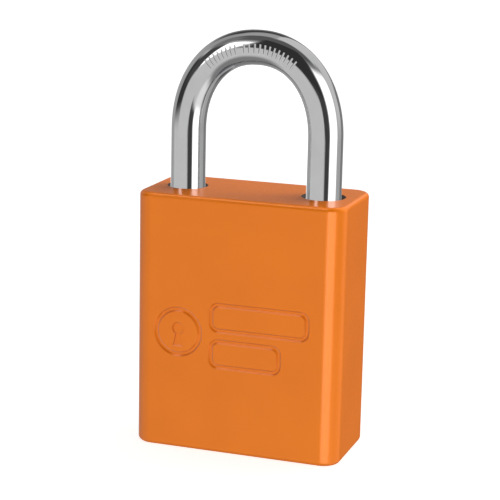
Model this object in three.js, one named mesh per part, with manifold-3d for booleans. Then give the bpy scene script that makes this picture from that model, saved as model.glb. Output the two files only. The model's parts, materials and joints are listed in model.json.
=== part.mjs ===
// A safety padlock: a solid aluminium case, a steel shackle held by two locking balls, and a
// five-pin cylinder that turns the actuator between the balls.
//
// Millimetres, +Z up. The origin is the centre of the case's bottom face. The shackle's legs
// stand along X, with the heel (the leg that stays in the case) at -X and the toe at +X. The
// front of the case faces -Y, and the key goes in from below.
//
// At rest the shackle is pushed home and the key is turned to the released position, so the
// shackle is free to lift. Turning the plug by LOCKING_TURN drives both balls into the shackle.

import * as THREE from "three";
import { mergeVertices } from "three/addons/utils/BufferGeometryUtils.js";
import Module from "manifold-3d";

const wasm = await Module();
wasm.setup();

// ---- Driving dimensions -------------------------------------------------------------------

const RUNNING_GAP = 0.12; // radial play of a turning or sliding piece in its bore
const FACE_GAP = 0.3; // play between faces that meet end to end

const CASE = { width: 38.1, depth: 19.05, height: 46.2, cornerRadius: 3.2, edge: 0.8 };

const SHACKLE = {
  radius: 3.1,
  legX: 12.7, // each leg's distance from the middle
  clearance: 22.2, // from the top of the case to the inside of the crown
  crownRise: 15.4, // height of the bent part's centre line
  crownFullness: 2.16, // 2 would bend it along an ellipse; more makes its shoulders squarer
  lift: 13, // travel from home until the heel's collar meets its ball
  toeBelowBall: 3.9, // how far the toe reaches below the middle of its ball
  collar: 2.6, // full-width length left under the heel's turned groove
  endChamfer: 0.7,
};

const BALL = {
  radius: 5.56 / 2,
  z: 38.8,
  bite: 1.5, // how deep a thrown ball stands in its leg
  heelCatch: 0.7, // how deep the released heel ball still stands in its leg
  toeDraw: 0.125, // how far the released toe ball is drawn back from its leg
};

const BORE = {
  shackle: SHACKLE.radius + 0.225,
  heelFloor: 8,
  toeFloor: 30.2,
  heelChamfer: 0.35,
  toeChamfer: 0.6,
};

const LOCKING_TURN = Math.PI / 2; // turn of the plug between released and locked

const PLUG = {
  radius: 5.3,
  headRadius: 6,
  face: 0.5, // the cylinder's face stands this far inside the bottom of the case
  headTop: 1.9,
  grooveBottom: 24.8,
  grooveTop: 25.6,
  grooveRadius: 4.4,
  flangeTop: 26.3,
  tangTop: 28.4,
  tangLength: 7.4,
  tangWidth: 2.2,
  keywayTop: 23.4,
  chamberFloorX: -1.3,
};

const SHELL = {
  radius: 6.9,
  top: 24.6,
  bibleReach: 14.9, // how far the pin housing stands out towards the toe
  bibleWidth: 6.4,
  bibleCorner: 1.6,
  seatGap: 0.2, // play between the shell and its pocket in the case
};

const ACTUATOR = { radius: 5.3, bottom: 26.7, top: 42.5, bore: 5.45, boreTop: 43, pocketGap: 0.16 };

const PINS = {
  firstZ: 4.6,
  pitch: 3.5,
  radius: 1.35,
  chamberRadius: 1.45,
  keyPinEndX: 5.1, // outer end of every key pin, just inside the plug's surface
  keyPinLengths: [4.3, 3.7, 5.0, 4.0, 4.6],
  driverStartX: 5.6,
  driverLength: 3.5,
};

const CLIP = { bottom: 24.92, thickness: 0.56, outerRadius: 6.5, mouth: Math.PI / 3 };
const STRIP = { width: 3.2, thickness: 0.7, slotDepth: 0.9, bottom: 2.4, top: 20.4 };
const SCREW = {
  radius: 1.45,
  headRadius: 2.6,
  headHeight: 2.2,
  tipZ: 21.4,
  socketAcross: 2, // across the flats of its hexagon
  threadPitch: 0.7,
};
const SHACKLE_SPRING = { wireRadius: 0.35, coilRadius: 2.35, turns: 9, stepsPerTurn: 9 };
const DRIVER_SPRING = { wireRadius: 0.15, coilRadius: 1.05, turns: 4, stepsPerTurn: 8 };

// ---- Dimensions worked out from them ------------------------------------------------------

const crownZ = CASE.height + SHACKLE.clearance + SHACKLE.radius; // centre line's highest point
const springLineZ = crownZ - SHACKLE.crownRise; // where the straight legs end
const legSurfaceX = SHACKLE.legX - SHACKLE.radius;
const lockedX = legSurfaceX + BALL.bite - BALL.radius; // a thrown ball's centre
const heelReleasedX = legSurfaceX + BALL.heelCatch - BALL.radius;
const toeReleasedX = legSurfaceX - BALL.toeDraw - BALL.radius;
const seatRadius = BALL.radius + RUNNING_GAP; // of every hollow that a ball works in
const grooveZ = BALL.z - SHACKLE.lift;
const grooveHalfHeight = Math.sqrt(seatRadius ** 2 - (legSurfaceX - lockedX) ** 2);
const heelEndZ = grooveZ - grooveHalfHeight - SHACKLE.collar;
const toeEndZ = BALL.z - SHACKLE.toeBelowBall;
const pocketRadius = SHELL.radius + SHELL.seatGap;
const pocketTop = ACTUATOR.bottom - FACE_GAP;
const pinLevels = PINS.keyPinLengths.map((length, i) => PINS.firstZ + i * PINS.pitch);

// ---- Solids: joining and cutting ----------------------------------------------------------

function toSolid(geometry) {
  const bare = geometry.clone();
  for (const name of ["normal", "uv"]) bare.deleteAttribute(name);
  const merged = mergeVertices(bare, 1e-4);
  return new wasm.Manifold(
    new wasm.Mesh({
      numProp: 3,
      vertProperties: merged.attributes.position.array,
      triVerts: new Uint32Array(merged.index.array),
    }),
  );
}

function toGeometry(solid) {
  const mesh = solid.getMesh();
  const geometry = new THREE.BufferGeometry();
  geometry.setAttribute("position", new THREE.BufferAttribute(mesh.vertProperties, 3));
  geometry.setIndex(new THREE.BufferAttribute(mesh.triVerts, 1));
  geometry.computeVertexNormals();
  return geometry;
}

function join(...geometries) {
  return toGeometry(geometries.map(toSolid).reduce((whole, next) => whole.add(next)));
}

function cut(geometry, ...cutters) {
  return toGeometry(cutters.map(toSolid).reduce((left, next) => left.subtract(next), toSolid(geometry)));
}

// ---- Plain shapes, placed -----------------------------------------------------------------

// A round bar along Z, from one height to another, that may taper.
function uprightBar(radius, bottom, top, { x = 0, sides = 32, topRadius = radius } = {}) {
  const bar = new THREE.CylinderGeometry(topRadius, radius, top - bottom, sides);
  return bar.rotateX(Math.PI / 2).translate(x, 0, (bottom + top) / 2);
}

// A round bar along X.
function crossBar(radius, fromX, toX, z, sides = 32) {
  const bar = new THREE.CylinderGeometry(radius, radius, toX - fromX, sides);
  return bar.rotateZ(Math.PI / 2).translate((fromX + toX) / 2, 0, z);
}

function block(sizeX, sizeY, bottom, top, x = 0) {
  return new THREE.BoxGeometry(sizeX, sizeY, top - bottom).translate(x, 0, (bottom + top) / 2);
}

function prism(shape, bottom, top, curveSegments = 6) {
  const options = { depth: top - bottom, bevelEnabled: false, curveSegments };
  return new THREE.ExtrudeGeometry(shape, options).translate(0, 0, bottom);
}

function roundedRectangle(fromX, toX, width, corner) {
  const side = width / 2;
  const shape = new THREE.Shape();
  shape.absarc(toX - corner, side - corner, corner, 0, Math.PI / 2);
  shape.absarc(fromX + corner, side - corner, corner, Math.PI / 2, Math.PI);
  shape.absarc(fromX + corner, corner - side, corner, Math.PI, 1.5 * Math.PI);
  shape.absarc(toX - corner, corner - side, corner, 1.5 * Math.PI, 2 * Math.PI);
  return shape;
}

// A turned solid about Z from [radius, z] points that run upwards from the axis to the axis.
function turned(profile, sides = 32) {
  const points = profile.map(([radius, z]) => new THREE.Vector2(radius, z));
  return new THREE.LatheGeometry(points, sides).rotateX(Math.PI / 2);
}

// The cutter that bevels the lower end of a leg.
function endBevel(x, endZ) {
  const { radius, endChamfer } = SHACKLE;
  const rim = [
    [radius - endChamfer, endZ - 0.1],
    [radius + 0.5, endZ - 0.1],
    [radius + 0.5, endZ + endChamfer + 0.5],
    [radius - endChamfer, endZ],
    [radius - endChamfer, endZ - 0.1],
  ];
  return turned(rim, 28).translate(x, 0, 0);
}

function coneMouth(x, boreRadius, chamfer) {
  const top = CASE.height + 0.2;
  const bottom = CASE.height - chamfer;
  return uprightBar(boreRadius, bottom, top, { x, topRadius: boreRadius + chamfer + 0.2, sides: 40 });
}

class Helix extends THREE.Curve {
  constructor(radius, bottom, top, turns) {
    super();
    Object.assign(this, { radius, bottom, top, turns });
  }
  getPoint(t, target = new THREE.Vector3()) {
    const angle = 2 * Math.PI * this.turns * t;
    const z = this.bottom + (this.top - this.bottom) * t;
    return target.set(this.radius * Math.cos(angle), this.radius * Math.sin(angle), z);
  }
}

// A coil spring about Z between two heights, with its wire inside them.
function coilSpring({ wireRadius, coilRadius, turns, stepsPerTurn }, bottom, top, wireSides) {
  const path = new Helix(coilRadius, bottom + wireRadius, top - wireRadius, turns);
  const section = new THREE.Shape();
  for (let i = 0; i < wireSides; i++) {
    const angle = (2 * Math.PI * i) / wireSides;
    const place = i === 0 ? "moveTo" : "lineTo";
    section[place](wireRadius * Math.cos(angle), wireRadius * Math.sin(angle));
  }
  const steps = Math.round(turns * stepsPerTurn);
  return new THREE.ExtrudeGeometry(section, { steps, extrudePath: path, bevelEnabled: false });
}

// ---- The case -----------------------------------------------------------------------------

function caseBlank() {
  const { width, depth, height, cornerRadius, edge } = CASE;
  const blank = new THREE.ExtrudeGeometry(
    roundedRectangle(-width / 2, width / 2, depth, cornerRadius),
    {
      depth: height - 2 * edge,
      curveSegments: 6,
      bevelThickness: edge,
      bevelSize: edge,
      bevelOffset: -edge,
      bevelSegments: 3,
    },
  );
  return blank.translate(0, 0, edge);
}

function bibleOutline(gap) {
  const { bibleReach, bibleWidth, bibleCorner } = SHELL;
  return roundedRectangle(0, bibleReach + gap, bibleWidth + 2 * gap, bibleCorner);
}

function caseGeometry() {
  const above = CASE.height + 1;
  const below = -1;
  const throughWeb = SHELL.top + FACE_GAP - 0.5;
  return cut(
    caseBlank(),
    uprightBar(BORE.shackle, BORE.heelFloor, above, { x: -SHACKLE.legX, sides: 40 }),
    uprightBar(BORE.shackle, BORE.toeFloor, above, { x: SHACKLE.legX, sides: 40 }),
    coneMouth(-SHACKLE.legX, BORE.shackle, BORE.heelChamfer),
    coneMouth(SHACKLE.legX, BORE.shackle, BORE.toeChamfer),
    uprightBar(pocketRadius, below, pocketTop, { sides: 48 }),
    prism(bibleOutline(SHELL.seatGap), below, SHELL.top + FACE_GAP),
    uprightBar(ACTUATOR.bore, pocketTop - 0.5, ACTUATOR.boreTop, { sides: 48 }),
    crossBar(seatRadius, -SHACKLE.legX, SHACKLE.legX, BALL.z),
    uprightBar(SCREW.radius + 0.25, throughWeb, BORE.toeFloor + 0.5, { x: SHACKLE.legX, sides: 20 }),
  );
}

// ---- The shackle --------------------------------------------------------------------------

// The rod's centre line: up the heel, over the crown, down to the toe. Its even steps lie
// close together on the crown and far apart on the straight legs.
class ShackleLine extends THREE.Curve {
  getPoint(t, target = new THREE.Vector3()) {
    const legShare = 1 / 15;
    if (t < legShare) {
      const z = THREE.MathUtils.lerp(heelEndZ, springLineZ, t / legShare);
      return target.set(-SHACKLE.legX, 0, z);
    }
    if (t > 1 - legShare) {
      const z = THREE.MathUtils.lerp(toeEndZ, springLineZ, (1 - t) / legShare);
      return target.set(SHACKLE.legX, 0, z);
    }
    const angle = (Math.PI * (t - legShare)) / (1 - 2 * legShare);
    const power = 2 / SHACKLE.crownFullness;
    const across = -Math.sign(Math.cos(angle)) * Math.abs(Math.cos(angle)) ** power;
    const up = Math.abs(Math.sin(angle)) ** power;
    return target.set(SHACKLE.legX * across, 0, springLineZ + SHACKLE.crownRise * up);
  }
  getPointAt(u, target) {
    return this.getPoint(u, target);
  }
  getTangentAt(u, target) {
    return this.getTangent(u, target);
  }
}

function shackleGeometry() {
  const section = new THREE.Shape().absarc(0, 0, SHACKLE.radius, 0, 2 * Math.PI);
  const rod = new THREE.ExtrudeGeometry(section, {
    steps: 30,
    curveSegments: 12,
    extrudePath: new ShackleLine(),
    bevelEnabled: false,
  });
  const heelNotch = new THREE.SphereGeometry(seatRadius, 20, 12).translate(-lockedX, 0, BALL.z);
  const toeNotch = new THREE.SphereGeometry(seatRadius, 20, 12).translate(lockedX, 0, BALL.z);
  const channel = uprightBar(seatRadius, grooveZ, BALL.z, { x: -heelReleasedX });
  const groove = new THREE.TorusGeometry(SHACKLE.legX - lockedX, seatRadius, 14, 28);
  groove.translate(-SHACKLE.legX, 0, grooveZ);
  const heelBevel = endBevel(-SHACKLE.legX, heelEndZ);
  const toeBevel = endBevel(SHACKLE.legX, toeEndZ);
  return cut(rod, heelNotch, toeNotch, channel, groove, heelBevel, toeBevel);
}

// ---- Locking: balls and actuator ----------------------------------------------------------

// The actuator's radius at an angle from its ball's released direction, so that it clears the
// ball, which moves evenly from its released to its thrown place over the locking turn.
function camRadius(angle, releasedX) {
  const reach = BALL.radius + ACTUATOR.pocketGap;
  const samples = 30;
  let radius = ACTUATOR.radius + 0.4;
  for (let i = 0; i <= samples; i++) {
    const share = i / samples;
    const centre = THREE.MathUtils.lerp(releasedX, lockedX, share);
    const aside = angle - share * LOCKING_TURN;
    const half = centre * Math.sin(aside);
    if (Math.cos(aside) > 0 && Math.abs(half) < reach) {
      radius = Math.min(radius, centre * Math.cos(aside) - Math.sqrt(reach ** 2 - half ** 2));
    }
  }
  return radius;
}

function camOutline() {
  const points = [];
  const steps = 60;
  for (let i = 0; i < steps; i++) {
    const angle = (2 * Math.PI * i) / steps - Math.PI / 2;
    const toeSide = angle < Math.PI / 2;
    const fromBall = toeSide ? angle : angle - Math.PI;
    const radius = camRadius(fromBall, toeSide ? toeReleasedX : heelReleasedX);
    points.push(new THREE.Vector2(radius * Math.cos(angle), radius * Math.sin(angle)));
  }
  return new THREE.Path(points);
}

function actuatorGeometry() {
  const { radius, bottom, top } = ACTUATOR;
  const blank = turned([
    [0, bottom],
    [radius - 0.4, bottom],
    [radius, bottom + 0.4],
    [radius, top - 0.4],
    [radius - 0.4, top],
    [0, top],
  ], 48);
  const aroundCam = new THREE.Shape().absarc(0, 0, radius + 1.5, 0, 2 * Math.PI);
  aroundCam.holes.push(camOutline());
  const halfPocket = seatRadius + 0.1;
  const pockets = prism(aroundCam, BALL.z - halfPocket, BALL.z + halfPocket, 16);
  // The plug's tang stands along Y at rest, and so does the slot that it drives.
  const slotTop = PLUG.tangTop + FACE_GAP;
  const slot = block(PLUG.tangWidth + 0.4, PLUG.tangLength + 0.6, bottom - 0.5, slotTop);
  return cut(blank, pockets, slot);
}

function ballGeometry() {
  return new THREE.IcosahedronGeometry(BALL.radius, 2);
}

// ---- The cylinder: shell, plug and what holds them ----------------------------------------
// The plug and its pins are drawn with the key square to the shell, pins towards +X.

function shellGeometry() {
  const { radius, top, bibleReach } = SHELL;
  const outside = join(
    uprightBar(radius, PLUG.face, top, { sides: 48 }),
    prism(bibleOutline(0), PLUG.face, top),
  );
  const chambers = pinLevels.map((z) => crossBar(PINS.chamberRadius, 0, bibleReach + 1, z, 16));
  const slotX = bibleReach - STRIP.slotDepth / 2 + 0.5;
  const slotBottom = STRIP.bottom - 0.15;
  const slotTop = STRIP.top + 0.15;
  return cut(
    outside,
    uprightBar(PLUG.radius + RUNNING_GAP, 0, top + 1, { sides: 48 }),
    uprightBar(PLUG.headRadius + RUNNING_GAP, 0, PLUG.headTop + FACE_GAP, { sides: 48 }),
    ...chambers,
    block(STRIP.slotDepth + 1, STRIP.width + 0.3, slotBottom, slotTop, slotX),
    uprightBar(SCREW.radius + 0.15, SCREW.tipZ - 0.3, top + 1, { x: SHACKLE.legX, sides: 20 }),
  );
}

// The warded keyway, as a closed outline across the plug.
function keywayOutline() {
  const { Vector2 } = THREE;
  return new THREE.Shape([
    new Vector2(-4.4, -1.05),
    new Vector2(-2.0, -1.05),
    new Vector2(-1.6, -0.35),
    new Vector2(0.4, -0.35),
    new Vector2(0.8, -1.0),
    new Vector2(2.9, -1.0),
    new Vector2(2.9, 0.45),
    new Vector2(1.0, 0.45),
    new Vector2(0.6, 0.95),
    new Vector2(-1.4, 0.95),
    new Vector2(-1.8, 0.35),
    new Vector2(-4.4, 0.35),
  ]);
}

function plugGeometry() {
  const p = PLUG;
  const barrel = turned([
    [0, p.face],
    [p.headRadius - 0.3, p.face],
    [p.headRadius, p.face + 0.3],
    [p.headRadius, p.headTop],
    [p.radius, p.headTop],
    [p.radius, p.grooveBottom],
    [p.grooveRadius, p.grooveBottom],
    [p.grooveRadius, p.grooveTop],
    [p.radius - 0.1, p.grooveTop],
    [p.radius - 0.1, p.flangeTop],
    [0, p.flangeTop],
  ], 48);
  const tang = block(p.tangLength, p.tangWidth, p.flangeTop - 0.3, p.tangTop);
  const chambers = pinLevels.map((z) =>
    crossBar(PINS.chamberRadius, p.chamberFloorX, p.headRadius + 1, z, 16),
  );
  return cut(join(barrel, tang), prism(keywayOutline(), 0, p.keywayTop), ...chambers);
}

function clipGeometry() {
  const { bottom, thickness, outerRadius, mouth } = CLIP;
  const innerRadius = PLUG.grooveRadius + 0.12;
  const shape = new THREE.Shape();
  shape.absarc(0, 0, outerRadius, mouth / 2, 2 * Math.PI - mouth / 2);
  shape.absarc(0, 0, innerRadius, 2 * Math.PI - mouth / 2, mouth / 2, true);
  return prism(shape, bottom, bottom + thickness, 16);
}

function coverStripGeometry() {
  const x = SHELL.bibleReach - STRIP.thickness / 2;
  return block(STRIP.thickness, STRIP.width, STRIP.bottom, STRIP.top, x);
}

function retainingScrewGeometry() {
  const { radius, headRadius, headHeight, tipZ, socketAcross, threadPitch } = SCREW;
  const headBottom = BORE.toeFloor + FACE_GAP;
  const root = radius - 0.25;
  const profile = [
    [0, tipZ],
    [root - 0.3, tipZ],
  ];
  for (let z = tipZ + 0.3; z < SHELL.top - threadPitch; z += threadPitch) {
    profile.push([root, z], [radius, z + threadPitch / 2]);
  }
  profile.push(
    [root, SHELL.top - 0.4],
    [root, headBottom],
    [headRadius, headBottom],
    [headRadius, headBottom + headHeight - 0.3],
    [headRadius - 0.3, headBottom + headHeight],
    [0, headBottom + headHeight],
  );
  const socketRadius = socketAcross / Math.sqrt(3);
  const socketTop = headBottom + headHeight;
  const socket = uprightBar(socketRadius, socketTop - 1.3, socketTop + 1, { sides: 6 });
  return cut(turned(profile, 20), socket).translate(SHACKLE.legX, 0, 0);
}

// ---- Pins and springs ---------------------------------------------------------------------

// Lays a piece that was turned about Z along X instead, keeping its place from the origin.
function layAlongX(geometry) {
  return geometry.rotateY(Math.PI / 2);
}

// A key pin, pointed towards the key, with two serrations near its outer end.
function keyPinGeometry(length) {
  const outer = PINS.keyPinEndX;
  const { radius } = PINS;
  const profile = [
    [0, outer - length],
    [0.4, outer - length],
    [radius, outer - length + 0.9],
  ];
  for (const back of [1.5, 0.8]) {
    profile.push([radius, outer - back - 0.25], [radius - 0.15, outer - back]);
  }
  profile.push([radius, outer - 0.15], [radius - 0.2, outer], [0, outer]);
  return layAlongX(turned(profile, 12));
}

// A spool-shaped driver pin.
function driverPinGeometry() {
  const inner = PINS.driverStartX;
  const outer = inner + PINS.driverLength;
  const { radius } = PINS;
  const waist = radius - 0.35;
  const profile = [
    [0, inner],
    [radius - 0.15, inner],
    [radius, inner + 0.15],
    [radius, inner + 0.7],
    [waist, inner + 1.0],
    [waist, outer - 1.0],
    [radius, outer - 0.7],
    [radius, outer - 0.15],
    [radius - 0.15, outer],
    [0, outer],
  ];
  return layAlongX(turned(profile, 12));
}

function driverSpringGeometry() {
  const start = PINS.driverStartX + PINS.driverLength + 0.15;
  const end = SHELL.bibleReach - STRIP.thickness - 0.15;
  return layAlongX(coilSpring(DRIVER_SPRING, start, end, 4));
}

function shackleSpringGeometry() {
  const geometry = coilSpring(SHACKLE_SPRING, BORE.heelFloor + FACE_GAP, heelEndZ - FACE_GAP, 5);
  return geometry.translate(-SHACKLE.legX, 0, 0);
}

// ---- Materials ----------------------------------------------------------------------------

const finish = (color, roughness, metalness) =>
  new THREE.MeshStandardMaterial({ color, roughness, metalness });

const anodised = finish(0xe0701e, 0.45, 0.35);
const chrome = finish(0xd8dadc, 0.12, 1);
const steel = finish(0xa6a8ab, 0.3, 1);
const springSteel = finish(0x8d9094, 0.35, 1);
const brass = finish(0xc9a24a, 0.35, 1);
const nickel = finish(0xc3c0b6, 0.3, 1);

// ---- Assembly -----------------------------------------------------------------------------

function piece(name, geometry, material, parent) {
  const mesh = new THREE.Mesh(geometry, material);
  mesh.name = name;
  parent.add(mesh);
  return mesh;
}

function addCaseAndShackle(parent) {
  piece("case", caseGeometry(), anodised, parent);
  piece("shackle", shackleGeometry(), chrome, parent);
  piece("shackle_spring", shackleSpringGeometry(), springSteel, parent);
}

function addLocking(parent) {
  piece("actuator", actuatorGeometry(), steel, parent);
  piece("heel_locking_ball", ballGeometry(), steel, parent).position.set(-heelReleasedX, 0, BALL.z);
  piece("toe_locking_ball", ballGeometry(), steel, parent).position.set(toeReleasedX, 0, BALL.z);
}

function addCylinder(parent) {
  piece("cylinder_shell", shellGeometry(), nickel, parent);
  piece("spring_cover_strip", coverStripGeometry(), brass, parent);
  piece("cylinder_retaining_screw", retainingScrewGeometry(), steel, parent);
  pinLevels.forEach((z, i) => {
    piece(`driver_pin_${i + 1}`, driverPinGeometry(), brass, parent).position.z = z;
    piece(`driver_spring_${i + 1}`, driverSpringGeometry(), springSteel, parent).position.z = z;
  });
}

function addPlug(parent) {
  const plug = new THREE.Group();
  plug.rotation.z = LOCKING_TURN; // released; square to the shell is locked
  parent.add(plug);
  piece("plug", plugGeometry(), nickel, plug);
  piece("plug_retaining_clip", clipGeometry(), springSteel, plug);
  pinLevels.forEach((z, i) => {
    piece(`key_pin_${i + 1}`, keyPinGeometry(PINS.keyPinLengths[i]), brass, plug).position.z = z;
  });
}

const padlock = new THREE.Group();
addCaseAndShackle(padlock);
addLocking(padlock);
addCylinder(padlock);
addPlug(padlock);

export default padlock;
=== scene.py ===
import json
import math

import bmesh
import bpy
from mathutils import Matrix, Vector


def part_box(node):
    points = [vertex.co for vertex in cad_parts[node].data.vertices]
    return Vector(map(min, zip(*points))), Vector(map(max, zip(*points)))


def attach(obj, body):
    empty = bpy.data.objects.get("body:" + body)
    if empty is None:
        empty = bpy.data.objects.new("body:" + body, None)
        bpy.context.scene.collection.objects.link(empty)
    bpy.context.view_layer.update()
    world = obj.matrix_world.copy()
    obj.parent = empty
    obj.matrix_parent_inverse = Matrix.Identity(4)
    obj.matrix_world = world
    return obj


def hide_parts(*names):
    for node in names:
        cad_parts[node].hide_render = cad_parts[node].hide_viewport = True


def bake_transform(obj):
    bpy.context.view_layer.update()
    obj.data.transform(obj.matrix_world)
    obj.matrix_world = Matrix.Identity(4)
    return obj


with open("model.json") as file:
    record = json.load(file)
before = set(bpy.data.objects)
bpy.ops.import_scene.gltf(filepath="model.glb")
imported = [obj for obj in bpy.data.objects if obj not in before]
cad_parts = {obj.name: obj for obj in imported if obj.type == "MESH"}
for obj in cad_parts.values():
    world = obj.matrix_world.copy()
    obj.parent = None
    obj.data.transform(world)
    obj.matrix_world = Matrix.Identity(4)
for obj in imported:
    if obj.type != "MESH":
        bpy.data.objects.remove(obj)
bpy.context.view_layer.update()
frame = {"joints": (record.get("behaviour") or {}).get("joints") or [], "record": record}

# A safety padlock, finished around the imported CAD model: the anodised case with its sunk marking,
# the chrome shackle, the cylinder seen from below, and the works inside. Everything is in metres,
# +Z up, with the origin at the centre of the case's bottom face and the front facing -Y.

MM = 0.001
MERGE = 0.002 * MM  # corners nearer than this are one

# ---- Places and sizes from the frame -------------------------------------------------------

joints = {joint["name"]: joint for joint in frame["joints"]}
slot_of = {part["node"]: part["material_slot"] for part in frame["record"]["subparts"]}
bodies = frame["record"]["behaviour"]["bodies"]
body_of = {node: body for body, nodes in bodies.items() for node in nodes}


def travel(joint):
    """How far a slide moves from rest, in metres."""
    return joints[joint]["range_m"][1]


def centre(node):
    low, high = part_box(node)
    return (low + high) / 2


case_low, case_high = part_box("case")
shackle_low, shackle_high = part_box("shackle")
shell_low, shell_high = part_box("cylinder_shell")
plug_low, plug_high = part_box("plug")
rod = shackle_high.y  # the shackle's radius
leg_x = shackle_high.x - rod  # each leg's distance from the middle
crown_z = shackle_high.z - rod  # the highest point of the rod's centre line
ball_z = centre("toe_locking_ball").z
toe_thrown_x = centre("toe_locking_ball").x + travel("toe_ball_throw")
heel_released_x = -centre("heel_locking_ball").x
shell_radius = -shell_low.x
shell_reach = shell_high.x  # how far the bible, which holds the drivers, reaches towards the toe
plug_head = plug_high.x  # its radius

# Sizes that the boxes don't give, the same as in the CAD model.
CORNER = 3.2 * MM  # the case's upright corners
EDGE = 0.8 * MM  # how far the case's other edges are rolled over
CROWN_RISE = 15.4 * MM  # height of the bent part's centre line
CROWN_FULLNESS = 2.16  # 2 would bend it along an ellipse; more makes its shoulders squarer
TOE_BELOW_BALL = 3.9 * MM
END_CHAMFER = 0.7 * MM  # at both ends of the shackle
BALL = 2.78 * MM  # radius
RUNNING_GAP = 0.12 * MM  # round a piece that turns or slides in its bore
FACE_GAP = 0.3 * MM  # between faces that meet end to end
SHACKLE_BORE = rod + 0.225 * MM
HEEL_FLOOR = 8 * MM  # the bottoms of the two holes
TOE_FLOOR = 30.2 * MM
HEEL_MOUTH = 0.35 * MM  # the bevels round them
TOE_MOUTH = 0.6 * MM
SEAT_GAP = 0.2 * MM  # between the shell and its pocket in the case
BIBLE_WIDTH = 6.4 * MM
BIBLE_CORNER = 1.6 * MM
ACTUATOR_BORE = 5.45 * MM
ACTUATOR_BORE_TOP = 43 * MM
CAM_GAP = 0.16 * MM  # between the cam and a ball
PLUG_RADIUS = 5.3 * MM
PLUG_HEAD_TOP = 1.9 * MM
CLIP_GROOVE = 4.4 * MM  # radius at its floor
CLIP_GROOVE_BOTTOM = 24.8 * MM
CLIP_GROOVE_TOP = 25.6 * MM
FLANGE_TOP = 26.3 * MM
TANG_WIDTH = 2.2 * MM
TANG_LENGTH = 7.4 * MM
KEYWAY_TOP = 23.4 * MM
CHAMBER = 1.45 * MM  # radius of a pin's hole
CHAMBER_FLOOR = -1.3 * MM
SCREW_RADIUS = 1.45 * MM
THREAD_PITCH = 0.7 * MM
PIN_COUNT = 5

PAST = 1 * MM  # how far a cutter stands out past what it cuts

# ---- Meshes --------------------------------------------------------------------------------


def add_object(name, data):
    made = bpy.data.objects.new(name, data)
    bpy.context.scene.collection.objects.link(made)
    return made


def mesh_from(name, vertices, faces):
    mesh = bpy.data.meshes.new(name)
    mesh.from_pydata(vertices, [], faces)
    work = bmesh.new()
    work.from_mesh(mesh)
    bmesh.ops.recalc_face_normals(work, faces=work.faces)
    work.to_mesh(mesh)
    work.free()
    return mesh


def loft(name, rings, closed=False):
    """A closed solid through equal rings of points, capped unless its last ring meets its first."""
    count = len(rings[0])
    spans = len(rings) if closed else len(rings) - 1
    faces = []
    for i in range(spans):
        a = i * count
        b = (i + 1) % len(rings) * count
        for j in range(count):
            k = (j + 1) % count
            faces.append((a + j, a + k, b + k, b + j))
    if not closed:
        faces.append(tuple(range(count)))
        faces.append(tuple(range(spans * count, (spans + 1) * count)))
    return mesh_from(name, [point for ring in rings for point in ring], faces)


def flat_mesh(name, half_x, half_y):
    """A flat rectangle about the origin."""
    corners = [(-half_x, -half_y, 0), (half_x, -half_y, 0), (half_x, half_y, 0), (-half_x, half_y, 0)]
    return mesh_from(name, corners, [(0, 1, 2, 3)])


def circle(radius, z, sides):
    angles = [2 * math.pi * i / sides for i in range(sides)]
    return [Vector((radius * math.cos(a), radius * math.sin(a), z)) for a in angles]


def turned(name, profile, sides=64, matrix=None):
    """A solid turned about Z through (radius, z) points, with a flat disc at each end."""
    mesh = loft(name, [circle(radius, z, sides) for radius, z in profile])
    if matrix:
        mesh.transform(matrix)
    return mesh


def at(x=0.0, y=0.0, z=0.0):
    return Matrix.Translation((x, y, z))


TO_X = Matrix.Rotation(math.pi / 2, 4, "Y")  # lays what stands along Z along X
TO_Y = Matrix.Rotation(-math.pi / 2, 4, "X")  # and along Y
FRONT = Vector((0, -1, 0))
UP = Vector((0, 0, 1))


def rounded_rectangle(low_x, high_x, half_y, corner, steps=12):
    """Points round a rectangle with rounded corners, anticlockwise from above."""
    points = []
    corners = ((high_x - corner, 1), (low_x + corner, 1), (low_x + corner, -1), (high_x - corner, -1))
    for quarter, (x, side) in enumerate(corners):
        for step in range(steps + 1):
            angle = (quarter + step / steps) * math.pi / 2
            y = side * (half_y - corner)
            points.append((x + corner * math.cos(angle), y + corner * math.sin(angle)))
    return points


def upright(outline, z):
    return [Vector((x, y, z)) for x, y in outline]


def inset(outline, by):
    """The outline, anticlockwise, with every side moved inwards."""
    moved = []
    for i, corner in enumerate(outline):
        before = (Vector(corner) - Vector(outline[i - 1])).normalized()
        after = (Vector(outline[(i + 1) % len(outline)]) - Vector(corner)).normalized()
        inwards = Vector((-before.y - after.y, before.x + after.x))
        moved.append(Vector(corner) + inwards * by / (1 + before.dot(after)))
    return moved


def bevelled(name, outline, bottom, top, bevel, matrix=None):
    """An upright solid of the outline, with its end edges bevelled."""
    smaller = inset(outline, bevel)
    levels = ((smaller, bottom), (outline, bottom + bevel), (outline, top - bevel), (smaller, top))
    mesh = loft(name, [upright(points, z) for points, z in levels])
    if matrix:
        mesh.transform(matrix)
    return mesh


def block(low, high):
    """A box between two corners."""
    corners = ((low[0], low[1]), (high[0], low[1]), (high[0], high[1]), (low[0], high[1]))
    return loft("block", [upright(corners, low[2]), upright(corners, high[2])])


def bar(radius, bottom, top, x=0.0, sides=64):
    """A round upright bar."""
    return turned("bar", [(radius, bottom), (radius, top)], sides, at(x))


def cross_bar(radius, from_x, to_x, z):
    """A round bar along X."""
    return turned("cross_bar", [(radius, from_x), (radius, to_x)], sides=48, matrix=at(z=z) @ TO_X)


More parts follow.
